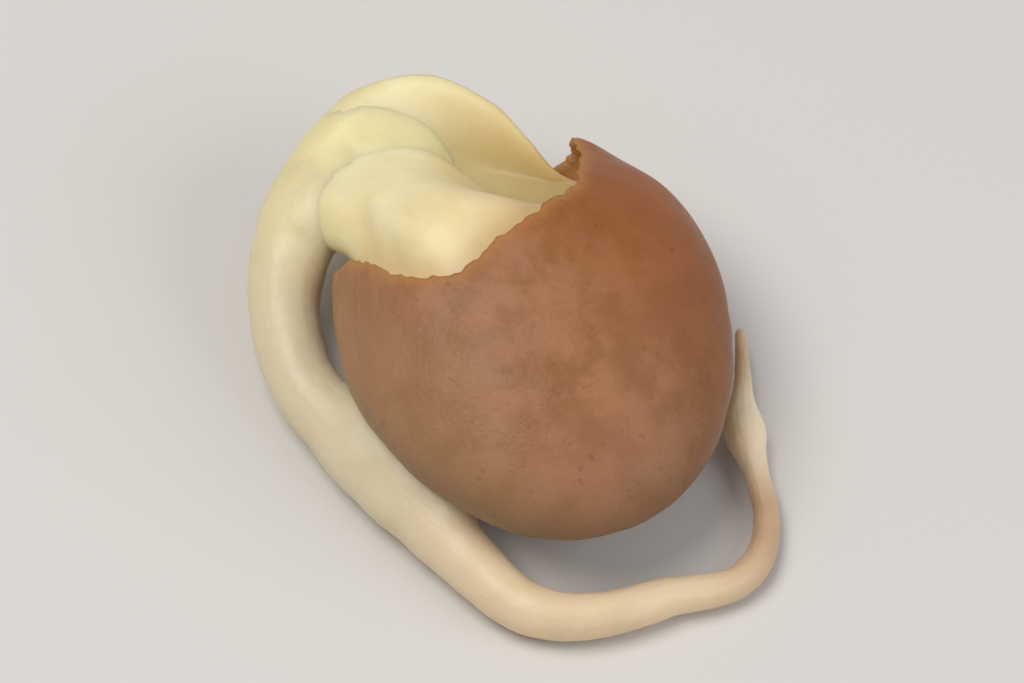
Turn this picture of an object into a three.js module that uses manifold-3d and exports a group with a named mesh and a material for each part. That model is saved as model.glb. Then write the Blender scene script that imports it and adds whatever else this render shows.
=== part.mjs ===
// One sprouted lentil, lying on its flat side as it would on a plate. The brown coat is torn open at
// the back left, the two seed leaves swell out of the tear, and the root comes out from between
// them and curls round the seed. Millimetres, +Z up, the origin under the middle of the sprout.

import * as THREE from 'three';
import Module from 'manifold-3d';

const wasm = await Module();
wasm.setup();

// The swollen seed: a thick lens, a little deeper than wide, drawn thin at its rim. Gentle bulges
// keep it from being a perfect lens; each is a share of the half size. The largest draws the seed
// out to the front right, and more narrowly the higher its sharpness is.
const SEED_CENTRE = new THREE.Vector3(0.388, 0.584, 2.45);
const SEED_HALF = new THREE.Vector3(4.15, 4.55, 2.6);
const LENS_PINCH = 0.14;
const BULGE = { corner: 0.01, slope: -0.025, back: 0.03, rim: 0.02, front: 0.25 };
const FRONT = directionAt(-62, 0);
const FRONT_SHARPNESS = 3;

// The coat: its wall, how far its torn edge lifts and thins, and the tear. The tear is a patch round
// TEAR_AXIS, and its edge reaches these angles from that axis, in even steps round it from the top.
const COAT_WALL = 0.3;
const EDGE_LIFT = 0.12;
const EDGE_THINNING = 0.12;
const EDGE_FROM = 0.86;
const EDGE_WAVES = 5;
const EDGE_WAVE_SHARE = 0.5;
const TEAR_AXIS = directionAt(128.6, 27.8);
const TEAR_REACH = [53.5, 54.5, 49, 48, 59, 63, 56, 53, 44, 35, 40, 54];

// The seed leaves: clearance to the coat, the cleft between them, and how far each swells in the
// tear, from nothing at its edge to all at these degrees inside it.
const LEAF_CLEARANCE = 0.06;
const LEAF_CLEFT = 0.08;
const SWELL = { upper: 0.52, lower: 0.3 };
const SWELL_WITHIN = 22;

// The upper one is sunk in round this direction, where the lower one shows behind it. The swelling
// is taken away there, the more so the higher the flattening is.
const DENT = { axis: directionAt(84, 32), within: 46, depth: 0.75, flattening: 3 };

// In the tear their rims leave the lens. They stand out by these amounts, in even steps of azimuth.
// Where the lower one passes its twin by more than the gap it turns up: at this slope, with a
// least width and a rounded crest between these shares of that width. The sharpnesses keep the
// outward and the upward turn close to the rim.
const LIP_FROM = 55;
const LIP_STEP = 15;
const LIP = {
  upper: [0, -0.5, -0.95, -1.1, -0.5, 0.5, 0.9, 0.5, 0],
  lower: [0, -0.3, -0.2, 0.65, 1.65, 1.95, 1, 0.4, 0],
};
const LIP_GAP = 0.32;
const LIP_SLOPE = 0.75;
const LIP_LEAST_WIDTH = 0.15;
const LIP_SHARPNESS = 4;
const LIFT_SHARPNESS = 9;
const CREST = [0.08, 0.85];

// The root: points of its middle line in plan from the seed's centre with the height above the
// surface, its half width at the base and in the thin tail, and the swelling behind its tip.
const ROOT_PATH = [
  [-3.0, 4.42, 2.5], [-3.4, 4.53, 2.62], [-3.87, 4.47, 2.65], [-4.52, 3.87, 2.48], [-5.11, 2.8, 2.08],
  [-5.3, 1.75, 1.64], [-5.23, 0.72, 1.24], [-4.85, -0.47, 0.92], [-4.11, -1.58, 0.8],
  [-3.12, -2.94, 0.78], [-2.27, -3.83, 0.75], [-0.98, -5.23, 0.65], [-0.21, -5.92, 0.6],
  [0.56, -6.17, 0.56], [1.33, -6.14, 0.53], [2.1, -5.93, 0.5], [2.87, -5.64, 0.46],
  [3.64, -5.48, 0.42], [4.39, -5.17, 0.36], [4.85, -4.51, 0.32], [4.98, -3.49, 0.34],
  [4.79, -2.51, 0.45], [4.54, -1.37, 0.6], [4.54, -0.19, 0.75], [4.5, 0.96, 0.85],
];
const ROOT_BASE_RADIUS = 0.75;
const ROOT_TAIL_RADIUS = 0.2;
const ROOT_TAPER_FROM = 0.3;
const ROOT_SWELLING = { at: 0.9, length: 0.026, height: 0.24 };
const ROOT_CLEARANCE = 0.05;
const ROOT_LIFT = 0.02;

// How finely the round shapes are divided.
const COAT_SIDES = 60;
const COAT_RINGS = 20;
const LEAF_SIDES = 64;
const LEAF_RINGS = 12;
const LIP_RINGS = 6;
const ROOT_SIDES = 12;
const ROOT_RINGS = 80;
const ROOT_CAP_RINGS = 3;

const UP = new THREE.Vector3(0, 0, 1);
const COLOURS = { coat: 0x9c5a2c, leaf: 0xe0d08a, root: 0xddd2ae };

function directionAt(azimuth, elevation) {
  const polar = THREE.MathUtils.degToRad(90 - elevation);
  const turn = THREE.MathUtils.degToRad(azimuth);
  return new THREE.Vector3(
    Math.sin(polar) * Math.cos(turn),
    Math.sin(polar) * Math.sin(turn),
    Math.cos(polar),
  );
}

// A direction at an angle from the tear's axis, turned round it from the top, and back again.
const TEAR_UP = new THREE.Vector3(0, 0, 1).projectOnPlane(TEAR_AXIS).normalize();
const TEAR_SIDE = new THREE.Vector3().crossVectors(TEAR_AXIS, TEAR_UP);

function directionFromTear(angle, turn) {
  return TEAR_AXIS.clone()
    .multiplyScalar(Math.cos(angle))
    .addScaledVector(TEAR_UP, Math.sin(angle) * Math.cos(turn))
    .addScaledVector(TEAR_SIDE, Math.sin(angle) * Math.sin(turn));
}

// A smooth curve through evenly spaced values, closed on itself or held at its ends.
function along(values, place, closed) {
  const index = Math.floor(place);
  const part = place - index;
  const value = (offset) => {
    const wanted = index + offset;
    const inRow = THREE.MathUtils.clamp(wanted, 0, values.length - 1);
    return values[closed ? THREE.MathUtils.euclideanModulo(wanted, values.length) : inRow];
  };
  const slopeHere = (value(1) - value(-1)) / 2;
  const slopeNext = (value(2) - value(0)) / 2;
  const rise = 3 * (value(1) - value(0)) - 2 * slopeHere - slopeNext;
  const bend = slopeHere + slopeNext - 2 * (value(1) - value(0));
  return value(0) + slopeHere * part + rise * part ** 2 + bend * part ** 3;
}

// The angle from the tear's axis to its edge.
function tearEdge(turn) {
  const place = (turn / (2 * Math.PI)) * TEAR_REACH.length;
  return THREE.MathUtils.degToRad(along(TEAR_REACH, place, true));
}

// How far inside the tear a direction lies, in degrees; negative under the coat.
function depthInTear(direction) {
  const angle = direction.angleTo(TEAR_AXIS);
  const turn = Math.atan2(direction.dot(TEAR_SIDE), direction.dot(TEAR_UP));
  return THREE.MathUtils.radToDeg(tearEdge(turn) - angle);
}

// A point of the lens in a direction from its centre, set in from its outside.
function seedPoint(direction, inset) {
  const { x, y, z } = direction;
  const lens = z * (1 - LENS_PINCH * (1 - z * z));
  const bulge = 1 + BULGE.corner * x * y + BULGE.slope * y * z + BULGE.back * x * x * y
    + BULGE.rim * x * z * z + BULGE.front * Math.max(direction.dot(FRONT), 0) ** FRONT_SHARPNESS;
  return new THREE.Vector3(
    (SEED_HALF.x * bulge - inset) * x,
    (SEED_HALF.y * bulge - inset) * y,
    (SEED_HALF.z - inset) * lens,
  ).add(SEED_CENTRE);
}

// A closed surface over a stack of rings with as many points each, and one point at either end.
function closedSkin(start, rings, end) {
  const sides = rings[0].length;
  const points = [start, ...rings.flat(), end];
  const at = (ring, side) => 1 + ring * sides + (side % sides);
  const last = points.length - 1;
  const faces = [];
  for (let side = 0; side < sides; side += 1) {
    faces.push(0, at(0, side), at(0, side + 1));
    faces.push(last, at(rings.length - 1, side + 1), at(rings.length - 1, side));
    for (let ring = 0; ring < rings.length - 1; ring += 1) {
      faces.push(at(ring, side), at(ring + 1, side), at(ring + 1, side + 1));
      faces.push(at(ring, side), at(ring + 1, side + 1), at(ring, side + 1));
    }
  }
  const geometry = new THREE.BufferGeometry().setFromPoints(points);
  geometry.setIndex(faces);
  return geometry;
}

function asSolid(geometry) {
  return new wasm.Manifold(new wasm.Mesh({
    numProp: 3,
    vertProperties: new Float32Array(geometry.attributes.position.array),
    triVerts: new Uint32Array(geometry.index.array),
  }));
}

function asGeometry(solid) {
  const mesh = solid.getMesh();
  const geometry = new THREE.BufferGeometry();
  geometry.setAttribute('position', new THREE.BufferAttribute(mesh.vertProperties, 3));
  geometry.setIndex(new THREE.BufferAttribute(mesh.triVerts, 1));
  return geometry;
}

// The coat is a cup: its outside from the closed end to the torn edge, then its inside back again.
// It stands on a small flat spot where the outside would dip below the surface.
function coatGeometry() {
  const ringAt = (part, inside) => {
    const nearEdge = THREE.MathUtils.smoothstep(part, EDGE_FROM, 1);
    const lift = EDGE_LIFT * nearEdge;
    const wall = COAT_WALL - EDGE_THINNING * nearEdge;
    const ring = [];
    for (let side = 0; side < COAT_SIDES; side += 1) {
      const turn = (-side / COAT_SIDES) * 2 * Math.PI;
      const angle = THREE.MathUtils.lerp(Math.PI, tearEdge(turn), part);
      const wave = 1 + EDGE_WAVE_SHARE * Math.sin(EDGE_WAVES * turn);
      const inset = (inside ? wall : 0) - lift * wave;
      const point = seedPoint(directionFromTear(angle, turn), inset);
      point.z = Math.max(point.z, 0);
      ring.push(point);
    }
    return ring;
  };
  const parts = Array.from({ length: COAT_RINGS }, (_, ring) => (ring + 1) / COAT_RINGS);
  const outside = parts.map((part) => ringAt(part, false));
  const inside = parts.map((part) => ringAt(part, true)).reverse();
  const closedEnd = directionFromTear(Math.PI, 0);
  return closedSkin(seedPoint(closedEnd, 0), [...outside, ...inside], seedPoint(closedEnd, COAT_WALL));
}

function azimuthOf(direction) {
  return THREE.MathUtils.euclideanModulo(
    THREE.MathUtils.radToDeg(Math.atan2(direction.y, direction.x)), 360);
}

// How much of its swelling a seed leaf has in a direction: 0 at the tear's edge, 1 well inside it.
function inTear(direction) {
  return THREE.MathUtils.smoothstep(depthInTear(direction), 0, SWELL_WITHIN);
}

// How far the upper seed leaf is sunk in at its back, where the lower one shows behind it: 0 to 1.
function dent(direction) {
  const away = THREE.MathUtils.radToDeg(direction.angleTo(DENT.axis)) / DENT.within;
  return Math.max(1 - away ** 2, 0) ** 2;
}

// How far a seed leaf's rim stands out past the lens in a direction, or in from it where negative.
// It stands out only within the tear.
function lipOut(direction, name) {
  const place = (azimuthOf(direction) - LIP_FROM) / LIP_STEP;
  const out = along(LIP[name], place, false);
  return Math.min(out, out * inTear(direction));
}

// How far the lower seed leaf's rim passes its twin's.
function lipWidth(direction, name) {
  const past = lipOut(direction, 'lower') - lipOut(direction, 'upper') - LIP_GAP;
  return name === 'lower' ? Math.max(past, 0) : 0;
}

// One seed leaf: half of the lens inside the coat, with a flat face to its twin. In the tear it
// swells past the coat.
function leafPoint(direction, name) {
  const half = name === 'upper' ? 1 : -1;
  const sunk = name === 'upper' ? dent(direction) : 0;
  const kept = (1 - sunk) ** DENT.flattening;
  const swell = SWELL[name] * inTear(direction) * kept - DENT.depth * sunk;
  const point = seedPoint(direction, COAT_WALL + LEAF_CLEARANCE - swell);
  const raised = Math.abs(point.z - SEED_CENTRE.z) * (1 - LEAF_CLEFT / (2 * SEED_HALF.z));
  point.z = SEED_CENTRE.z + half * (LEAF_CLEFT / 2 + raised);
  const rim = Math.hypot(direction.x, direction.y);
  const out = lipOut(direction, name) * rim ** LIP_SHARPNESS;
  point.addScaledVector(directionAt(azimuthOf(direction), 0), out);
  point.z += LIP_SLOPE * lipWidth(direction, name) * rim ** LIFT_SHARPNESS;
  return point;
}

function leafGeometry(name) {
  const half = name === 'upper' ? 1 : -1;
  const turns = Array.from({ length: LEAF_SIDES }, (_, side) => (side / LEAF_SIDES) * 360 * half);
  const domeRings = Array.from({ length: LEAF_RINGS }, (_, ring) => {
    const elevation = 90 * (1 - (ring + 1) / LEAF_RINGS);
    return turns.map((turn) => leafPoint(directionAt(turn, elevation * half), name));
  });
  const middle = SEED_CENTRE.clone();
  middle.z += (half * LEAF_CLEFT) / 2;
  const faceRings = Array.from({ length: LIP_RINGS }, (_, ring) => turns.map((turn) => {
    const part = (ring + 1) / LIP_RINGS;
    const outward = directionAt(turn, 0);
    const rim = leafPoint(outward, name);
    const width = Math.max(lipWidth(outward, name), LIP_LEAST_WIDTH);
    const inner = rim.clone().lerp(middle, (width * part) / rim.distanceTo(middle));
    inner.z = THREE.MathUtils.lerp(rim.z, middle.z, THREE.MathUtils.smoothstep(part, ...CREST));
    return inner;
  }));
  const top = leafPoint(new THREE.Vector3(0, 0, half), name);
  return closedSkin(top, [...domeRings, ...faceRings], middle);
}

// Distances along the root, close together where its two ends are rounded, with the share of the
// full width there.
function rootStations(length) {
  const cap = Array.from({ length: ROOT_CAP_RINGS }, (_, ring) => {
    const angle = ((ring + 1) / (ROOT_CAP_RINGS + 1)) * (Math.PI / 2);
    return { depth: 1 - Math.cos(angle), share: Math.sin(angle) };
  });
  const start = cap.map(({ depth, share }) => ({ at: ROOT_BASE_RADIUS * depth, share }));
  const end = cap.map(({ depth, share }) => ({ at: length - ROOT_TAIL_RADIUS * depth, share }));
  const between = Array.from({ length: ROOT_RINGS }, (_, ring) => {
    const part = ring / (ROOT_RINGS - 1);
    return { at: THREE.MathUtils.lerp(ROOT_BASE_RADIUS, length - ROOT_TAIL_RADIUS, part), share: 1 };
  });
  return [...start, ...between, ...end.reverse()];
}

// The root's half width: it tapers to the thin tail, with a swelling behind the tip.
function rootRadius(part) {
  const taper = THREE.MathUtils.smoothstep(part, ROOT_TAPER_FROM, 1);
  const fromSwelling = (part - ROOT_SWELLING.at) / ROOT_SWELLING.length;
  const swelling = ROOT_SWELLING.height * Math.exp(-(fromSwelling ** 2));
  return THREE.MathUtils.lerp(ROOT_BASE_RADIUS, ROOT_TAIL_RADIUS, taper) + swelling;
}

// The root, or with some extra all round the hollow it leaves in the seed leaves.
function rootGeometry(extra) {
  const path = new THREE.CatmullRomCurve3(
    ROOT_PATH.map(([x, y, z]) => new THREE.Vector3(SEED_CENTRE.x + x, SEED_CENTRE.y + y, z)),
    false,
    'centripetal',
  );
  const length = path.getLength();
  const rings = rootStations(length).map(({ at, share }) => {
    const part = at / length;
    const radius = rootRadius(part) * share + extra;
    const centre = path.getPointAt(part);
    centre.z = Math.max(centre.z, radius + ROOT_LIFT);
    const across = new THREE.Vector3().crossVectors(path.getTangentAt(part), UP).normalize();
    const above = new THREE.Vector3().crossVectors(across, path.getTangentAt(part));
    return Array.from({ length: ROOT_SIDES }, (_, side) => {
      const turn = (side / ROOT_SIDES) * 2 * Math.PI;
      return centre.clone()
        .addScaledVector(across, radius * Math.cos(turn))
        .addScaledVector(above, radius * Math.sin(turn));
    });
  });
  const start = path.getPointAt(0).addScaledVector(path.getTangentAt(0), -extra);
  const end = path.getPointAt(1).addScaledVector(path.getTangentAt(1), extra);
  return closedSkin(start, rings, end);
}

function finished(name, geometry, colour, roughness) {
  const plain = geometry.toNonIndexed();
  plain.computeVertexNormals();
  const material = new THREE.MeshStandardMaterial({ color: colour, roughness, metalness: 0 });
  const mesh = new THREE.Mesh(plain, material);
  mesh.name = name;
  return mesh;
}

// Each seed leaf is notched round the root's base, which it clasps.
function notchedLeaf(name) {
  return asGeometry(asSolid(leafGeometry(name)).subtract(asSolid(rootGeometry(ROOT_CLEARANCE))));
}

const sprout = new THREE.Group();
sprout.add(
  finished('seed_coat', coatGeometry(), COLOURS.coat, 0.45),
  finished('seed_leaf_upper', notchedLeaf('upper'), COLOURS.leaf, 0.5),
  finished('seed_leaf_lower', notchedLeaf('lower'), COLOURS.leaf, 0.5),
  finished('sprout_root', rootGeometry(0), COLOURS.root, 0.5),
);

export default sprout;
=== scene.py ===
"""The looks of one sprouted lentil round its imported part, lying on a pale surface in soft light."""

import math

import bpy
import numpy as np
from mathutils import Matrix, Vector
from mathutils.bvhtree import BVHTree


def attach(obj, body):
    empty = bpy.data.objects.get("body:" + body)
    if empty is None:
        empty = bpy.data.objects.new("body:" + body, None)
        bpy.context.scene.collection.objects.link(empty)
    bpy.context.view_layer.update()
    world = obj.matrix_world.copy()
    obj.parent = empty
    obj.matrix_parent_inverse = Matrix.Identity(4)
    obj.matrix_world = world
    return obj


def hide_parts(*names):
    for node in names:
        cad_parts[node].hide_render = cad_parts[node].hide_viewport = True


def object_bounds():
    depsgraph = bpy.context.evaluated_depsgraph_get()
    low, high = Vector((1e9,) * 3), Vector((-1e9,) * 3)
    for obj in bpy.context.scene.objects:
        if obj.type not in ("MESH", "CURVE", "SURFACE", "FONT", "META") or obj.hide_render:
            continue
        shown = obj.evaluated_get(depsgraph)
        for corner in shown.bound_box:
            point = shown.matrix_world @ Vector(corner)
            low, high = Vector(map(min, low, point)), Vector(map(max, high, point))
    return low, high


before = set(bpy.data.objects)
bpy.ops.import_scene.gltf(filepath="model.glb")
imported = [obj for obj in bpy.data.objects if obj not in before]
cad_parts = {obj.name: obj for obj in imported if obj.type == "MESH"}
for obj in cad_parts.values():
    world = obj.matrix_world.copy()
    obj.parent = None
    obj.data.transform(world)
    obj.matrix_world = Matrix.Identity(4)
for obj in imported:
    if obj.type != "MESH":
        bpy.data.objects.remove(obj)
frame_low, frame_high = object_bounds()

MM = 0.001

# Lengths are in millimetres and angles in degrees up to the stage. The shapes follow the part's
# source and its values, and are made finer and uneven.

# The seed: a lens with a pinched rim, whose outline bulges a little here and there. The tear lies
# round an axis, and these are its reaches from that axis in even steps of turn.
SEED_CENTRE = np.array([0.388, 0.584, 2.45])
SEED_HALF = np.array([4.15, 4.55, 2.6])
LENS_PINCH = 0.14
BULGE_CORNER, BULGE_SLOPE, BULGE_BACK, BULGE_RIM, BULGE_FRONT = 0.01, -0.025, 0.03, 0.02, 0.25
FRONT_AZIMUTH, FRONT_SHARPNESS = -62, 3
TEAR_AZIMUTH, TEAR_ELEVATION = 128.6, 27.8
TEAR_REACH = np.array([53.5, 54.5, 49, 48, 59, 63, 56, 53, 44, 35, 40, 54])

# The coat: its wall, how far its outside is set in to leave room for its hills, and its edge, which
# lifts off the seed leaves in waves and thins out over the last share of the way to the tear.
COAT_WALL = 0.3
COAT_SET_IN = 0.03
EDGE_LIFT = 0.12
EDGE_THINNING = 0.2
EDGE_FROM = 0.86
EDGE_WAVES, EDGE_WAVE_SHARE = 5, 0.5
EDGE_COLOUR_FADE = 7
COAT_SIDES = 400
COAT_OUTER_RINGS, COAT_INNER_RINGS = 150, 40
# Size, count and shift of the waves round the tear. The sizes of the ragged edge are in degrees.
# The pleats run over the last share of the way to the tear.
EDGE_RAGS = ((0.5, 13, 0.4), (0.35, 29, 2.1), (0.25, 53, 4.0), (0.15, 91, 1.2))
PLEATS = ((0.014, 37, 0.3), (0.01, 61, 1.9), (0.006, 97, 3.1))
PLEATS_FROM, PLEATS_TO = 0.72, 0.97

# The seed leaves. One value of each lip stands at every step of azimuth from the first. The upper
# leaf is dented at its back.
LEAF_CLEARANCE = 0.06
LEAF_CLEFT = 0.08
SWELL = {"upper": 0.52, "lower": 0.3}
SWELL_WITHIN = 22
DENT_AZIMUTH, DENT_ELEVATION = 84, 32
DENT_WITHIN, DENT_DEPTH, DENT_FLATTENING = 46, 0.75, 3
LIP_FROM, LIP_STEP = 55, 15
LIP = {
    "upper": np.array([0, -0.5, -0.95, -1.1, -0.5, 0.5, 0.9, 0.5, 0]),
    "lower": np.array([0, -0.3, -0.2, 0.65, 1.65, 1.95, 1, 0.4, 0]),
}
LIP_GAP = 0.32
LIP_SLOPE = 0.75
LIP_LEAST_WIDTH = 0.15
LIP_SHARPNESS, LIFT_SHARPNESS = 4, 9
CREST_FROM, CREST_TO = 0.08, 0.85
# Where the painted shade of the hollow between the leaves comes in, as shares of the way across the
# lip.
HOLLOW_FROM, HOLLOW_TO = 0.15, 0.75
LEAF_SIDES = 360
LEAF_DOME_RINGS, LEAF_LIP_RINGS, LEAF_FACE_RINGS = 90, 24, 12

# The root: knots of its middle line round the seed's centre, their height above the surface, and
# its half width, which tapers to the tail. Places along it are shares of its length.
ROOT_PATH = np.array([
    [-3.0, 4.42, 2.5], [-3.4, 4.53, 2.62], [-3.87, 4.47, 2.65], [-4.52, 3.87, 2.48],
    [-5.11, 2.8, 2.08], [-5.3, 1.75, 1.64], [-5.23, 0.72, 1.24], [-4.85, -0.47, 0.92],
    [-4.11, -1.58, 0.8], [-3.12, -2.94, 0.78], [-2.27, -3.83, 0.75], [-0.98, -5.23, 0.65],
    [-0.21, -5.92, 0.6], [0.56, -6.17, 0.56], [1.33, -6.14, 0.53], [2.1, -5.93, 0.5],
    [2.87, -5.64, 0.46], [3.64, -5.48, 0.42], [4.39, -5.17, 0.36], [4.85, -4.51, 0.32],
    [4.98, -3.49, 0.34], [4.79, -2.51, 0.45], [4.54, -1.37, 0.6], [4.54, -0.19, 0.75],
    [4.5, 0.96, 0.85],
])
ROOT_BASE_RADIUS, ROOT_TAIL_RADIUS = 0.75, 0.2
ROOT_TAPER_FROM = 0.3
ROOT_SWELLING_AT, ROOT_SWELLING_LENGTH, ROOT_SWELLING_HEIGHT = 0.9, 0.026, 0.24
ROOT_LIFT = 0.02
ROOT_TIP_FROM, ROOT_TIP_NARROWING = 0.93, 0.35
# The source has neither the narrower tip nor this: beside the seed the root is fuller on its
# inner side.
ROOT_FULL_AT, ROOT_FULL_LENGTH, ROOT_FULL_HEIGHT = 0.14, 0.055, 0.1
ROOT_STEPS, ROOT_SIDES = 900, 48
ROOT_KNOT_STEPS, ROOT_CAP_STEPS = 60, 13
ROOT_GRAIN_LENGTHWAYS, ROOT_GRAIN_ROUND = 28.0, 2.6
ROOT_GRAIN_SIZE, ROOT_GRAIN_HEIGHT, ROOT_GRAIN_MIDDLE = 0.55, 0.05, 0.6

# Unevenness: the height, wavelength and seed of each ripple. The root's heights are shares of its
# half width, and the seed leaves bulge out no further than this.
COAT_HILLS = ((0.022, 2.6, 11), (0.008, 0.9, 12))
PLEAT_WAVER = ((0.5, 2.0, 13),)
PLEAT_PATCHES = ((1, 3.4, 14),)
PLEAT_PATCH_FROM, PLEAT_PATCH_TO = -0.5, 0.9
LEAF_DENTS = ((0.02, 1.7, 21), (0.007, 0.6, 22))
LEAF_MOST_BULGE = 0.01
ROOT_UNEVENNESS = ((0.02, 1.9, 31), (0.012, 0.7, 32))
ROOT_UNEVEN_INWARD = 0.02
RIPPLE_WAVES = 28
RIPPLE_LEAST, RIPPLE_MOST = 0.7, 1.4
RIPPLE_PEAK = 1.6

# Where the root comes out it blends into the seed leaves, which only the scene has: its neck starts
# deeper between them, and both swell towards each other in a rounded corner of this size. Past the
# middle of that corner each dips under the other, and stops at a share of the corner's size. A
# place counts as inside a piece where the way to it goes back against the piece's normal for at
# least this share.
ROOT_NECK = np.array([[-1.9, 3.1, 1.6], [-2.4, 3.9, 1.95]])
ROOT_NECK_RADIUS = 0.35
BLEND = 1.2
BLEND_UNDER, BLEND_DIP = 0.42, 0.12
BLEND_TURNS, BLEND_EVENING = 10, 12
INSIDE_SHARE = 0.9
LEAST_SLANT = 1e-6

# The stage: metres, watts and linear colours.
FLOOR_REACH, FLOOR_DROP = 1.5, 0.00001
LIGHTS = {
    "key": ((-0.058, -0.004, 0.15), 0.11, 0.155, (1.0, 0.97, 0.93)),
    "fill": ((0.12, -0.05, 0.09), 0.12, 0.08, (0.97, 0.98, 1.0)),
}
SKY_COLOUR, SKY_STRENGTH = (0.9, 0.93, 1.0, 1.0), 0.36
CAMERA_LENS, CAMERA_DISTANCE, CAMERA_ELEVATION = 250, 0.15, 55
CAMERA_NEAR, CAMERA_FAR = 0.01, 10


def smoothstep(x, start, end):
    t = np.clip((x - start) / (end - start), 0, 1)
    return t * t * (3 - 2 * t)


def bell(x, middle, width):
    return np.exp(-(((x - middle) / width) ** 2))


def direction_at(azimuth, elevation):
    """Unit vectors at azimuths and elevations in degrees."""
    turn, rise = np.radians(azimuth), np.radians(elevation)
    turn, rise = np.broadcast_arrays(turn, rise)
    flat = np.cos(rise)
    return np.stack([flat * np.cos(turn), flat * np.sin(turn), np.sin(rise)], axis=-1)


def azimuth_of(direction):
    return np.degrees(np.arctan2(direction[..., 1], direction[..., 0])) % 360


def along(values, place, closed):
    """A smooth curve through evenly spaced values, closed on itself or held at its ends."""
    index = np.floor(place).astype(int)
    part = place - index

    def value(offset):
        wanted = index + offset
        inside = wanted % len(values) if closed else np.clip(wanted, 0, len(values) - 1)
        return values[inside]

    slope_here = (value(1) - value(-1)) / 2
    slope_next = (value(2) - value(0)) / 2
    rise = 3 * (value(1) - value(0)) - 2 * slope_here - slope_next
    bend = slope_here + slope_next - 2 * (value(1) - value(0))
    return value(0) + slope_here * part + rise * part**2 + bend * part**3


def curve_through(knots, steps):
    """Points on a smooth curve through knots, so many steps from each knot to the next."""
    before, after = 2 * knots[0] - knots[1], 2 * knots[-1] - knots[-2]
    padded = np.concatenate([[before], knots, [after]])
    t = np.linspace(0, 1, steps, endpoint=False)[:, None]
    spans = []
    for p0, p1, p2, p3 in zip(padded, padded[1:], padded[2:], padded[3:]):
        t01, t12, t23 = (math.sqrt(np.linalg.norm(b - a)) for a, b in (
            (p0, p1), (p1, p2), (p2, p3),
        ))
        m1 = (p1 - p0) / t01 - (p2 - p0) / (t01 + t12) + (p2 - p1) / t12
        m2 = (p2 - p1) / t12 - (p3 - p1) / (t12 + t23) + (p3 - p2) / t23
        m1, m2 = m1 * t12, m2 * t12
        square = 3 * (p2 - p1) - 2 * m1 - m2
        cube = 2 * (p1 - p2) + m1 + m2
        spans.append(p1 + m1 * t + square * t**2 + cube * t**3)
    return np.concatenate([*spans, [knots[-1]]])


def ripple(points, wavelength, seed):
    """Soft random hills over points, about -1 to 1, from a sum of seeded waves."""
    draw = np.random.default_rng(seed)
    waves = draw.normal(size=(RIPPLE_WAVES, 3))
    waves *= 2 * np.pi / (wavelength * np.linalg.norm(waves, axis=1, keepdims=True))
    waves *= draw.uniform(RIPPLE_LEAST, RIPPLE_MOST, size=(RIPPLE_WAVES, 1))
    phases = draw.uniform(0, 2 * np.pi, size=RIPPLE_WAVES)
    height = np.sin(points @ waves.T + phases).sum(axis=-1)
    return height * math.sqrt(2 / RIPPLE_WAVES) / RIPPLE_PEAK


def ripples(points, layers):
    return sum(height * ripple(points, wavelength, seed) for height, wavelength, seed in layers)


def ring_waves(turn, layers, waver=0.0):
    return sum(size * np.sin(count * turn + shift + waver) for size, count, shift in layers)


TEAR_AXIS = direction_at(TEAR_AZIMUTH, TEAR_ELEVATION)
TEAR_UP = np.array([0, 0, 1.0]) - TEAR_AXIS * TEAR_AXIS[2]
TEAR_UP /= np.linalg.norm(TEAR_UP)
TEAR_SIDE = np.cross(TEAR_AXIS, TEAR_UP)


def direction_from_tear(angle, turn):
    """Unit vectors at an angle from the tear's axis and a turn round it, in radians."""
    out = np.cos(angle)[..., None] * TEAR_AXIS
    out = out + (np.sin(angle) * np.cos(turn))[..., None] * TEAR_UP
    return out + (np.sin(angle) * np.sin(turn))[..., None] * TEAR_SIDE


def tear_edge(turn):
    """The angle from the tear's axis to its edge, in radians."""
    place = turn / (2 * np.pi) * len(TEAR_REACH)
    return np.radians(along(TEAR_REACH, place, True))


def depth_in_tear(direction):
    """How far inside the tear a direction lies, in degrees; negative under the coat."""
    angle = np.arccos(np.clip(direction @ TEAR_AXIS, -1, 1))
    turn = np.arctan2(direction @ TEAR_SIDE, direction @ TEAR_UP)
    return np.degrees(tear_edge(turn) - angle)


def in_tear(direction):
    """How much of its swelling a seed leaf has: 0 at the tear's edge, 1 well inside it."""
    return smoothstep(depth_in_tear(direction), 0, SWELL_WITHIN)


def seed_point(direction, inset):
    """A point of the seed's lens in a direction from its centre, set in from its outside."""
    x, y, z = direction[..., 0], direction[..., 1], direction[..., 2]
    lens = z * (1 - LENS_PINCH * (1 - z * z))
    bulge = 1 + BULGE_CORNER * x * y + BULGE_SLOPE * y * z + BULGE_BACK * x * x * y
    front = np.maximum(direction @ direction_at(FRONT_AZIMUTH, 0), 0) ** FRONT_SHARPNESS
    bulge = bulge + BULGE_RIM * x * z * z + BULGE_FRONT * front
    point = np.stack([
        (SEED_HALF[0] * bulge - inset) * x,
        (SEED_HALF[1] * bulge - inset) * y,
        (SEED_HALF[2] - inset) * lens,
    ], axis=-1)
    return point + SEED_CENTRE


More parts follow.
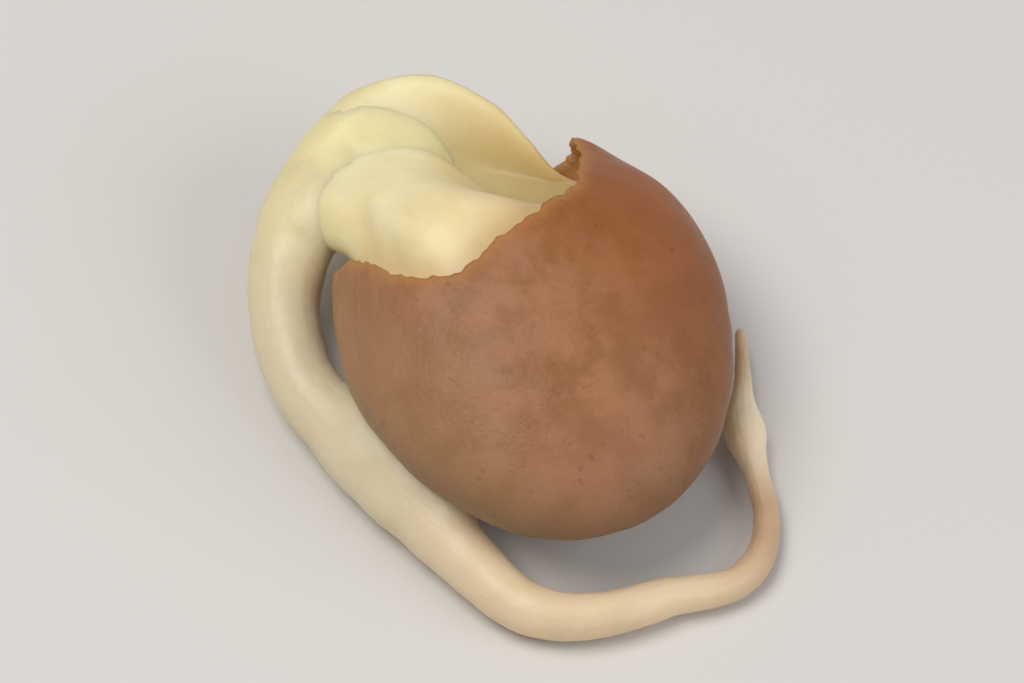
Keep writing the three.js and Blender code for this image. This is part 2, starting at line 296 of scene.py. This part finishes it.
def closed_skin(name, rings, start, end, values, material):
    """A closed smooth mesh over rings of points in millimetres, with named values on its points."""
    count, sides = rings.shape[:2]
    points = np.concatenate([[start], rings.reshape(-1, 3), [end]]) * MM
    here = np.arange(sides)
    after = (here + 1) % sides
    faces = []
    for ring in range(count - 1):
        a, b = 1 + ring * sides, 1 + (ring + 1) * sides
        faces += np.stack([a + here, b + here, b + after, a + after], axis=1).tolist()
    last = len(points) - 1
    a = 1 + (count - 1) * sides
    faces += np.stack([np.zeros(sides, int), 1 + here, 1 + after], axis=1).tolist()
    faces += np.stack([np.full(sides, last), a + after, a + here], axis=1).tolist()
    mesh = bpy.data.meshes.new(name)
    mesh.from_pydata(points.tolist(), [], faces)
    for key, (first, middle, final) in values.items():
        layer = mesh.attributes.new(key, "FLOAT", "POINT")
        layer.data.foreach_set("value", np.concatenate([[first], middle.ravel(), [final]]))
    mesh.polygons.foreach_set("use_smooth", np.ones(len(mesh.polygons), bool))
    corners = points[np.array([face[:3] for face in faces])]
    volume = np.einsum("ij,ij->i", corners[:, 0], np.cross(corners[:, 1], corners[:, 2])).sum()
    if volume < 0:
        mesh.flip_normals()
    mesh.materials.append(material)
    piece = bpy.data.objects.new(name, mesh)
    bpy.context.collection.objects.link(piece)
    return piece


def build_coat(material):
    """The torn skin: outside, a rounded thin edge, and inside."""
    turn = np.linspace(0, 2 * np.pi, COAT_SIDES, endpoint=False)
    outer = np.arange(1, COAT_OUTER_RINGS + 1) / COAT_OUTER_RINGS
    inner = 1 - np.arange(0, COAT_INNER_RINGS) / COAT_INNER_RINGS
    part = np.concatenate([outer, inner])[:, None]
    inside = np.concatenate([np.zeros(COAT_OUTER_RINGS), np.ones(COAT_INNER_RINGS)])[:, None]
    turns, part = np.broadcast_arrays(turn[None, :], part)

    edge = tear_edge(turn) + np.radians(ring_waves(turn, EDGE_RAGS))
    angle = np.pi + (edge[None, :] - np.pi) * part
    direction = direction_from_tear(angle, turns)
    near_edge = smoothstep(part, EDGE_FROM, 1)
    wall = COAT_WALL - EDGE_THINNING * near_edge
    wave = 1 + EDGE_WAVE_SHARE * np.sin(EDGE_WAVES * turns)
    inset = inside * wall - EDGE_LIFT * near_edge * wave

    flat = seed_point(direction, 0)
    pleats = ring_waves(turns, PLEATS, ripples(flat, PLEAT_WAVER))
    pleats *= smoothstep(ripples(flat, PLEAT_PATCHES), PLEAT_PATCH_FROM, PLEAT_PATCH_TO)
    pleats *= smoothstep(part, PLEATS_FROM, PLEATS_TO)
    inset = inset + COAT_SET_IN * (1 - inside) - ripples(flat, COAT_HILLS) + pleats
    rings = seed_point(direction, inset)
    rings[..., 2] = np.maximum(rings[..., 2], 0.0)
    closed_end = direction_from_tear(np.array(np.pi), np.array(0.0))
    start, end = seed_point(closed_end, COAT_SET_IN), seed_point(closed_end, COAT_WALL)
    to_edge = (1 - part) * np.degrees(np.pi - edge)[None, :]
    values = {
        "edge": (0, np.exp(-to_edge / EDGE_COLOUR_FADE), 0),
        "inside": (0, np.broadcast_to(inside, part.shape), 1),
    }
    return closed_skin("seed_coat_skin", rings, start, end, values, material)


def dent(direction):
    """How far the upper seed leaf is sunk in at its back, 0 to 1."""
    middle = direction_at(DENT_AZIMUTH, DENT_ELEVATION)
    away = np.degrees(np.arccos(np.clip(direction @ middle, -1, 1))) / DENT_WITHIN
    return np.maximum(1 - away**2, 0) ** 2


def lip_out(direction, name):
    """How far a seed leaf's rim stands out past the lens, within the tear, or in from it."""
    place = (azimuth_of(direction) - LIP_FROM) / LIP_STEP
    out = along(LIP[name], place, False)
    return np.minimum(out, out * in_tear(direction))


def lip_width(direction, name):
    """How far the lower seed leaf's rim passes its twin's."""
    if name == "upper":
        return np.zeros(direction.shape[:-1])
    past = lip_out(direction, "lower") - lip_out(direction, "upper") - LIP_GAP
    return np.maximum(past, 0)


def leaf_point(direction, name):
    """A point of a seed leaf's outside in a direction from the seed's centre."""
    half = 1 if name == "upper" else -1
    sunk = dent(direction) if name == "upper" else 0.0
    kept = (1 - sunk) ** DENT_FLATTENING
    swell = SWELL[name] * in_tear(direction) * kept - DENT_DEPTH * sunk
    point = seed_point(direction, COAT_WALL + LEAF_CLEARANCE - swell)
    raised = np.abs(point[..., 2] - SEED_CENTRE[2]) * (1 - LEAF_CLEFT / (2 * SEED_HALF[2]))
    point[..., 2] = SEED_CENTRE[2] + half * (LEAF_CLEFT / 2 + raised)
    rim = np.hypot(direction[..., 0], direction[..., 1])
    outward = direction_at(azimuth_of(direction), 0)
    point += outward * (rim**LIP_SHARPNESS * lip_out(direction, name))[..., None]
    point[..., 2] += LIP_SLOPE * lip_width(direction, name) * rim**LIFT_SHARPNESS
    return point


def build_leaf(name, material):
    """One seed leaf, with a flat face to its twin; the lower one's face turns up at its lip."""
    half = 1 if name == "upper" else -1
    azimuth = np.linspace(0, 360, LEAF_SIDES, endpoint=False)[None, :]
    elevation = half * (90 - 90 * np.arange(1, LEAF_DOME_RINGS + 1) / LEAF_DOME_RINGS)[:, None]
    direction = direction_at(azimuth, elevation)
    dome = leaf_point(direction, name)
    dents = np.maximum(ripples(dome, LEAF_DENTS), -LEAF_MOST_BULGE) * in_tear(direction)
    dome -= direction * dents[..., None]

    rim = dome[-1]
    middle = SEED_CENTRE + np.array([0, 0, half * LEAF_CLEFT / 2])
    width = np.maximum(lip_width(direction[-1], name), LIP_LEAST_WIDTH)
    reach = np.linalg.norm(rim - middle, axis=-1)
    lip_parts = np.arange(1, LEAF_LIP_RINGS + 1) / LEAF_LIP_RINGS
    lip = rim + (middle - rim) * ((width / reach) * lip_parts[:, None])[..., None]
    down = smoothstep(lip_parts, CREST_FROM, CREST_TO)[:, None]
    lip[..., 2] = rim[:, 2] + (middle[2] - rim[:, 2]) * down
    face_parts = (np.arange(1, LEAF_FACE_RINGS) / LEAF_FACE_RINGS)[:, None, None]
    face = lip[-1] + (middle - lip[-1]) * face_parts
    rings = np.concatenate([dome, lip, face])

    depth = np.concatenate([
        depth_in_tear(direction),
        np.broadcast_to(depth_in_tear(direction[-1]), lip.shape[:2]),
        np.broadcast_to(depth_in_tear(direction[-1]), face.shape[:2]),
    ])
    # How much painted shade the hollow between the leaves gets: none on the dome, all on the flat
    # face.
    sunken = smoothstep(lip_parts, HOLLOW_FROM, HOLLOW_TO)[:, None]
    hollow = np.concatenate([
        np.zeros(dome.shape[:2]),
        np.broadcast_to(sunken, lip.shape[:2]),
        np.ones(face.shape[:2]),
    ])
    values = {"depth": (-90, depth, -90), "hollow": (0, hollow, 1)}
    top = leaf_point(direction_at(0.0, 90.0 * half), name)
    return closed_skin(f"seed_leaf_{name}_flesh", rings, top, middle, values, material)


def root_line():
    """Points along the root's middle line, its half width there and the share of its length."""
    knots = np.concatenate([ROOT_NECK, ROOT_PATH]) + np.array([SEED_CENTRE[0], SEED_CENTRE[1], 0])
    fine = curve_through(knots, ROOT_KNOT_STEPS)
    travelled = np.concatenate([[0], np.cumsum(np.linalg.norm(np.diff(fine, axis=0), axis=1))])
    length = travelled[-1]
    neck = travelled[len(ROOT_NECK) * ROOT_KNOT_STEPS]
    # Close steps at both ends, where the root is rounded.
    cap = 1 - np.cos(np.linspace(0, np.pi / 2, ROOT_CAP_STEPS + 1))[1:]
    at = np.concatenate([
        ROOT_NECK_RADIUS * cap,
        np.linspace(ROOT_NECK_RADIUS, length - ROOT_TAIL_RADIUS, ROOT_STEPS)[1:-1],
        length - ROOT_TAIL_RADIUS * cap[::-1],
    ])
    rounding = np.sin(np.arccos(1 - cap))
    share = np.concatenate([rounding, np.ones(ROOT_STEPS - 2), rounding[::-1]])
    line = np.stack([np.interp(at, travelled, fine[:, axis]) for axis in range(3)], axis=1)
    part = np.maximum(at - neck, 0) / (length - neck)

    taper = smoothstep(part, ROOT_TAPER_FROM, 1)
    radius = ROOT_BASE_RADIUS + (ROOT_TAIL_RADIUS - ROOT_BASE_RADIUS) * taper
    radius -= (ROOT_BASE_RADIUS - ROOT_NECK_RADIUS) * smoothstep(at, neck, 0)
    radius *= 1 - ROOT_TIP_NARROWING * smoothstep(part, ROOT_TIP_FROM, 1)
    radius += ROOT_SWELLING_HEIGHT * bell(part, ROOT_SWELLING_AT, ROOT_SWELLING_LENGTH)
    fuller = ROOT_FULL_HEIGHT * bell(part, ROOT_FULL_AT, ROOT_FULL_LENGTH)
    radius += fuller
    line[:, 0] += fuller
    radius *= share * (1 + ripples(line, ROOT_UNEVENNESS) - ROOT_UNEVEN_INWARD)
    line[:, 2] = np.maximum(line[:, 2], radius + ROOT_LIFT)
    return line, radius, part


def gauge(others, reach):
    """A function that says how far a place is from the nearest of some pieces, up to twice a
    reach, and is negative where the place is inside one."""
    trees = []
    for other in others:
        corners = [point.co.copy() for point in other.data.vertices]
        faces = [face.vertices[:] for face in other.data.polygons]
        trees.append(BVHTree.FromPolygons(corners, faces))

    def outside(place):
        least = 2 * reach
        for tree in trees:
            nearest, normal, _, distance = tree.find_nearest(place, 2 * reach)
            if nearest is not None:
                inside = (place - nearest).dot(normal) < -INSIDE_SHARE * distance
                least = min(least, -distance if inside else distance)
        return least

    return outside


def blend(pieces, others, low, high):
    """Where the points of some pieces go so that they meet others rounded, kept in a box."""
    reach = BLEND * MM
    outside = gauge(others, reach)
    moved = []
    for piece in pieces:
        outs = np.zeros(len(piece.data.vertices))
        for index, point in enumerate(piece.data.vertices):
            if outside(point.co) >= reach:
                continue
            out = 0.0
            for _ in range(BLEND_TURNS):
                away = outside(point.co + point.normal * out)
                near = max(reach - abs(out - away), 0) ** 2 / (4 * reach)
                out = min(max(out - (min(out, away) - near), 0.0), BLEND_UNDER * reach)
            outs[index] = out
        outs = evened(outs, piece)
        # In the middle of the corner both have come out by a quarter of its size.
        outs -= BLEND_DIP * np.maximum(outs - reach / 4, 0.0)
        places = np.array([point.co for point in piece.data.vertices])
        normals = np.array([point.normal for point in piece.data.vertices])
        room = np.where(normals > 0, np.array(high) - places, places - np.array(low))
        room /= np.maximum(np.abs(normals), LEAST_SLANT)
        outs = np.minimum(outs, np.maximum(room.min(axis=1), 0.0))
        moved.append(places + normals * outs[:, None])
    return moved


def evened(values, piece):
    """Each point's value averaged with its neighbours', a few times over."""
    edges = np.array([edge.vertices[:] for edge in piece.data.edges])
    neighbours = np.bincount(edges.ravel(), minlength=len(values))
    for _ in range(BLEND_EVENING):
        total = np.bincount(edges[:, 0], values[edges[:, 1]], len(values))
        total += np.bincount(edges[:, 1], values[edges[:, 0]], len(values))
        values = (values + total / neighbours) / 2
    return values


def place_points(piece, places):
    piece.data.vertices.foreach_set("co", places.ravel())
    piece.data.update()


class Tree:
    """A node tree that is filled in by name: a node's type, its settings, then its inputs."""

    def __init__(self, tree):
        self.tree = tree

    def node(self, kind, settings=None, inputs=None):
        made = self.tree.nodes.new(kind)
        for key, value in (settings or {}).items():
            setattr(made, key, value)
        for key, value in (inputs or {}).items():
            self.feed(made.inputs[key], value)
        return made

    def feed(self, socket, value):
        if isinstance(value, Value):
            value = value.socket
        if isinstance(value, bpy.types.NodeSocket):
            self.tree.links.new(value, socket)
        else:
            socket.default_value = value

    def value(self, socket):
        return Value(self, socket)


class Value:
    """A number that varies over a surface; arithmetic on it adds Math nodes."""

    def __init__(self, tree, socket):
        self.tree = tree
        self.socket = socket

    def maths(self, operation, first, second):
        made = self.tree.node("ShaderNodeMath", {"operation": operation}, {0: first, 1: second})
        return Value(self.tree, made.outputs[0])

    def __add__(self, other):
        return self.maths("ADD", self, other)

    def __radd__(self, other):
        return self.maths("ADD", other, self)

    def __sub__(self, other):
        return self.maths("SUBTRACT", self, other)

    def __rsub__(self, other):
        return self.maths("SUBTRACT", other, self)

    def __mul__(self, other):
        return self.maths("MULTIPLY", self, other)

    def __rmul__(self, other):
        return self.maths("MULTIPLY", other, self)

    def step(self, start, end, low=0.0, high=1.0):
        """A smooth step from low to high between start and end."""
        made = self.tree.node(
            "ShaderNodeMapRange",
            {"interpolation_type": "SMOOTHSTEP"},
            {"Value": self, "From Min": start, "From Max": end, "To Min": low, "To Max": high},
        )
        return Value(self.tree, made.outputs["Result"])


def srgb(red, green, blue):
    """A colour for a node from its 0 to 255 screen values."""
    parts = []
    for part in (red / 255, green / 255, blue / 255):
        parts.append(part / 12.92 if part <= 0.04045 else ((part + 0.055) / 1.055) ** 2.4)
    return (*parts, 1.0)


class Paint(Tree):
    """A material with one Principled shader, and the textures that its colour is mixed from.
    Colours are given as 0 to 255 screen values, and sizes in millimetres."""

    def __init__(self, name, constants=None):
        self.material = bpy.data.materials.new(name)
        self.material.use_nodes = True
        super().__init__(self.material.node_tree)
        self.tree.nodes.clear()
        self.shader = self.node("ShaderNodeBsdfPrincipled", inputs=constants)
        self.node("ShaderNodeOutputMaterial", inputs={"Surface": self.shader.outputs[0]})
        self.place = self.node("ShaderNodeTexCoord").outputs["Object"]

    def noise(self, wavelength, detail=3.0, roughness=0.55, distortion=0.0):
        """Noise about 0.5 over the object."""
        made = self.node("ShaderNodeTexNoise", inputs={
            "Vector": self.place,
            "Scale": 1 / (wavelength * MM),
            "Detail": detail,
            "Roughness": roughness,
            "Distortion": distortion,
        })
        return self.value(made.outputs["Fac"])

    def attribute(self, name):
        made = self.node("ShaderNodeAttribute", {"attribute_name": name})
        return self.value(made.outputs["Fac"])

    def axis(self, name):
        """A coordinate of the object."""
        made = self.node("ShaderNodeSeparateXYZ", inputs={0: self.place})
        return self.value(made.outputs[name]) * (1 / MM)

    def mix(self, factor, first, second):
        made = self.node("ShaderNodeMix", {"data_type": "RGBA"}, {0: factor, 6: first, 7: second})
        return made.outputs[2]

    def layers(self, mask, first, second, *more):
        """One colour turning into a second where a mask says, under more masks and colours."""
        colour = self.mix(mask, srgb(*first), srgb(*second))
        for mask, tone in more:
            colour = self.mix(mask, colour, srgb(*tone))
        return colour

    def bump(self, height, distance, over=None):
        """Relief of a height, on top of other relief where that is given."""
        inputs = {"Height": height, "Distance": distance * MM}
        if over is not None:
            inputs["Normal"] = over
        return self.node("ShaderNodeBump", inputs=inputs).outputs[0]

    def finish(self, colour, roughness, normal=None):
        self.feed(self.shader.inputs["Base Color"], colour)
        self.feed(self.shader.inputs["Roughness"], roughness)
        if normal is not None:
            self.feed(self.shader.inputs["Normal"], normal)
        return self.material


def coat_material():
    """Brown seed skin: mottled, more orange towards the tear, with painted light on its front left
    and painted shade on its right side and its dull lower rim.
    """
    paint = Paint("seed_coat", {
        "Subsurface Weight": 0.12,
        "Subsurface Radius": (1.0, 0.45, 0.2),
        "Subsurface Scale": 0.5 * MM,
        "Coat Weight": 0.05,
        "Coat Roughness": 0.3,
        "Specular IOR Level": 0.3,
    })
    broad = paint.noise(3.2, detail=2)
    mottle = paint.noise(0.9, detail=4, roughness=0.6)
    specks = paint.noise(0.22, detail=3)
    x, y, z = (paint.axis(name) for name in "XYZ")
    # Painted light: the coat is lightened towards its front left, where the lamp's light falls.
    lit_front_left = (x * 0.7 + y * 0.5).step(-0.4, -3.6)
    towards_tear = (x * 0.55 + y * 0.65 + z * 0.3).step(1.2, 4.4)
    # Painted shade: the coat is darkened towards its right side, away from the lamp.
    shaded_right = (x - y * 0.2).step(2.4, 5.0)
    # Painted shade: the coat is darkened and dulled towards its lower front rim, which turns away
    # from the light.
    low = (z + y * 0.25).step(2.9, 0.9)
    edge = paint.attribute("edge").step(0.45, 0.98)
    inside = paint.attribute("inside")
    colour = paint.layers(
        mottle.step(0.38, 0.64), (148, 98, 56), (166, 114, 74),
        (broad.step(0.42, 0.66) * 0.5, (160, 106, 78)),
        (lit_front_left * 0.6, (168, 132, 92)),
        (towards_tear * 0.75, (150, 84, 34)),
        (shaded_right * 0.5, (118, 76, 48)),
        (low * 0.6, (112, 88, 60)),
        (edge * 0.6, (186, 130, 70)),
        (specks.step(0.6, 0.74) * 0.3, (92, 54, 30)),
        (inside * 0.6, (190, 150, 100)),
    )
    wrinkles = paint.noise(0.42, detail=5, roughness=0.62, distortion=0.6)
    pores = paint.bump(paint.noise(0.12, detail=2), 0.01)
    relief = paint.bump(wrinkles, 0.035, over=pores)
    return paint.finish(colour, mottle.step(0.3, 0.7, 0.4, 0.52), relief)


def leaf_material():
    """Waxy cream flesh, warm beside the coat, with painted shade, darker and greenish, in the hollow
    between the leaves.
    """
    paint = Paint("seed_leaf", {
        "Subsurface Weight": 0.35,
        "Subsurface Radius": (1.0, 0.75, 0.35),
        "Subsurface Scale": 0.9 * MM,
        "Coat Weight": 0.1,
        "Coat Roughness": 0.25,
    })
    cloud = paint.noise(1.6, detail=3)
    # Painted shade: the leaf turns darker and warmer towards its right, where it falls off into the
    # groove by the coat's edge.
    shade_to_the_right = paint.axis("X").step(-2.6, 1.4)
    by_the_coat = paint.attribute("depth").step(12.0, 0.0)
    colour = paint.layers(
        cloud.step(0.35, 0.65), (239, 222, 166), (245, 232, 184),
        (shade_to_the_right * 0.8, (218, 178, 116)),
        (by_the_coat * 0.6, (228, 190, 134)),
        # Painted shade in the hollow between the seed leaves.
        (paint.attribute("hollow") * 0.65, (176, 162, 104)),
    )
    relief = paint.bump(paint.noise(0.5, detail=4), 0.03)
    return paint.finish(colour, cloud.step(0.3, 0.7, 0.42, 0.54), relief)


def root_material():
    """Cream root, warmer along its way, tan in the thin tail, and at the swelling its own pinkish
    colour brightened near white as painted light.
    """
    paint = Paint("root", {
        "Subsurface Weight": 0.55,
        "Subsurface Radius": (1.0, 0.75, 0.5),
        "Subsurface Scale": 1.0 * MM,
        "Coat Weight": 0.1,
        "Coat Roughness": 0.25,
    })
    part = paint.attribute("along")
    cloud = paint.noise(1.1, detail=3)
    colour = paint.layers(
        part.step(0.02, 0.25), (236, 222, 166), (222, 208, 174),
        (part.step(0.35, 0.6), (234, 208, 172)),
        (part.step(0.68, 0.8), (196, 164, 132)),
        # At the swelling: its own pinkish colour, brightened near white as painted light where the
        # seed shades it.
        (part.step(0.82, 0.88), (252, 224, 192)),
        (part.step(0.92, 0.97), (206, 172, 142)),
        (cloud.step(0.45, 0.75) * 0.35, (204, 184, 140)),
    )
    # Fine lines that run along the root: noise over the way along and the place round it.
    around = paint.node("ShaderNodeAttribute", {"attribute_name": "around"})
    across = paint.node("ShaderNodeSeparateXYZ", inputs={0: around.outputs["Vector"]})
    stretched = paint.node("ShaderNodeCombineXYZ", inputs={
        0: part * ROOT_GRAIN_LENGTHWAYS,
        1: paint.value(across.outputs["X"]) * ROOT_GRAIN_ROUND,
        2: paint.value(across.outputs["Y"]) * ROOT_GRAIN_ROUND,
    })
    grain = paint.node("ShaderNodeTexNoise", inputs={
        "Vector": stretched.outputs[0], "Scale": 1.0, "Detail": 3.0,
    })
    lines = paint.bump(paint.value(grain.outputs["Fac"]), 0.03)
    relief = paint.bump(paint.noise(0.16, detail=3), 0.012, over=lines)
    return paint.finish(colour, cloud.step(0.3, 0.7, 0.42, 0.55), relief)


def sweep_tree(material):
    """A node tree that sweeps a round profile along a line, as thick as its points say."""
    tree = bpy.data.node_groups.new("root_sweep", "GeometryNodeTree")
    tree.interface.new_socket("Line", in_out="INPUT", socket_type="NodeSocketGeometry")
    sides = tree.interface.new_socket("Sides", in_out="INPUT", socket_type="NodeSocketInt")
    grain = tree.interface.new_socket("Grain", in_out="INPUT", socket_type="NodeSocketFloat")
    tree.interface.new_socket("Root", in_out="OUTPUT", socket_type="NodeSocketGeometry")
    maker = Tree(tree)
    given = maker.node("NodeGroupInput")
    line = maker.node("GeometryNodeMeshToCurve", inputs={"Mesh": given.outputs["Line"]})
    girth = maker.node("GeometryNodeInputNamedAttribute", {"data_type": "FLOAT"}, {"Name": "girth"})
    circle = maker.node("GeometryNodeCurvePrimitiveCircle", inputs={
        "Resolution": given.outputs["Sides"], "Radius": 1.0,
    })
    place = maker.node("GeometryNodeInputPosition")
    profile = maker.node(
        "GeometryNodeStoreNamedAttribute",
        {"data_type": "FLOAT_VECTOR", "domain": "POINT"},
        {"Geometry": circle.outputs[0], "Name": "around", "Value": place.outputs[0]},
    )
    swept = maker.node("GeometryNodeCurveToMesh", inputs={
        "Curve": line.outputs[0],
        "Profile Curve": profile.outputs[0],
        "Scale": girth.outputs["Attribute"],
        "Fill Caps": True,
    })
    noise = maker.node("ShaderNodeTexNoise", inputs={
        "Scale": 1 / (ROOT_GRAIN_SIZE * MM), "Detail": 2.0,
    })
    height = maker.value(noise.outputs["Fac"]) - ROOT_GRAIN_MIDDLE
    normal = maker.node("GeometryNodeInputNormal")
    push = maker.node("ShaderNodeVectorMath", {"operation": "SCALE"}, {
        0: normal.outputs[0], "Scale": height * given.outputs["Grain"],
    })
    shaped = maker.node("GeometryNodeSetPosition", inputs={
        "Geometry": swept.outputs[0], "Offset": push.outputs[0],
    })
    smooth = maker.node("GeometryNodeSetShadeSmooth", inputs={"Geometry": shaped.outputs[0]})
    real = maker.node("GeometryNodeRealizeInstances", inputs={"Geometry": smooth.outputs[0]})
    painted = maker.node("GeometryNodeSetMaterial", inputs={
        "Geometry": real.outputs[0], "Material": material,
    })
    maker.node("NodeGroupOutput", inputs={0: painted.outputs[0]})
    return tree, {sides.identifier: ROOT_SIDES, grain.identifier: ROOT_GRAIN_HEIGHT * MM}


def build_root(material):
    """The root, swept along its line and baked to a mesh."""
    line, radius, part = root_line()
    mesh = bpy.data.meshes.new("root_line")
    edges = [(i, i + 1) for i in range(len(line) - 1)]
    mesh.from_pydata((line * MM).tolist(), edges, [])
    for key, values in (("girth", radius * MM), ("along", part)):
        mesh.attributes.new(key, "FLOAT", "POINT").data.foreach_set("value", values)
    guide = bpy.data.objects.new("root_line", mesh)
    bpy.context.collection.objects.link(guide)
    tree, settings = sweep_tree(material)
    modifier = guide.modifiers.new("sweep", "NODES")
    modifier.node_group = tree
    for identifier, value in settings.items():
        modifier[identifier] = value
    bpy.context.view_layer.update()
    evaluated = guide.evaluated_get(bpy.context.evaluated_depsgraph_get())
    baked = bpy.data.meshes.new_from_object(evaluated)
    piece = bpy.data.objects.new("sprout_root_flesh", baked)
    bpy.context.collection.objects.link(piece)
    bpy.data.objects.remove(guide)
    return piece


def aimed(name, data, place, direction):
    """A lamp or camera at a place, looking in a direction."""
    made = bpy.data.objects.new(name, data)
    made.location = place
    made.rotation_mode = "QUATERNION"
    made.rotation_quaternion = direction.to_track_quat("-Z", "Y")
    bpy.context.collection.objects.link(made)
    return made


def set_the_stage(middle):
    """A pale surface, soft light from the back left, and the camera at the photograph's angle."""
    mesh = bpy.data.meshes.new("surface")
    corners = [(x * FLOOR_REACH, y * FLOOR_REACH, -FLOOR_DROP) for x, y in (
        (-1, -1), (1, -1), (1, 1), (-1, 1),
    )]
    mesh.from_pydata(corners, [], [(0, 1, 2, 3)])
    surface = bpy.data.objects.new("surface", mesh)
    bpy.context.collection.objects.link(surface)
    floor = Paint("surface")
    colour = floor.layers(floor.noise(60, detail=1), (214, 210, 204), (222, 219, 214))
    mesh.materials.append(floor.finish(colour, 0.7))

    for name, (place, size, power, colour) in LIGHTS.items():
        light = bpy.data.lights.new(name, "AREA")
        light.shape = "DISK"
        light.size = size
        light.energy = power
        light.color = colour
        aimed(name, light, place, Vector(middle) - Vector(place))
    world = bpy.data.worlds.new("studio")
    world.use_nodes = True
    sky = world.node_tree.nodes["Background"].inputs
    sky["Color"].default_value = SKY_COLOUR
    sky["Strength"].default_value = SKY_STRENGTH
    bpy.context.scene.world = world
    bpy.context.scene.view_settings.view_transform = "Standard"

    camera = bpy.data.cameras.new("camera")
    camera.lens = CAMERA_LENS
    camera.clip_start, camera.clip_end = CAMERA_NEAR, CAMERA_FAR
    rise = math.radians(CAMERA_ELEVATION)
    back = Vector((0, -math.cos(rise), math.sin(rise)))
    eye = aimed("camera", camera, Vector(middle) + back * CAMERA_DISTANCE, -back)
    bpy.context.scene.camera = eye


leaf_paint = leaf_material()
coat = build_coat(coat_material())
upper = build_leaf("upper", leaf_paint)
lower = build_leaf("lower", leaf_paint)
root = build_root(root_material())
blended = blend([upper, lower], [root], frame_low, frame_high)
blended += blend([root], [upper, lower], frame_low, frame_high)
for piece, places in zip((upper, lower, root), blended):
    place_points(piece, places)
for piece, node, slot in (
    (coat, "seed_coat", "seed_coat"),
    (upper, "seed_leaf_upper", "seed_leaf"),
    (lower, "seed_leaf_lower", "seed_leaf"),
    (root, "sprout_root", "root"),
):
    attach(piece, "root")
    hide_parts(node)

set_the_stage((frame_low + frame_high) / 2)
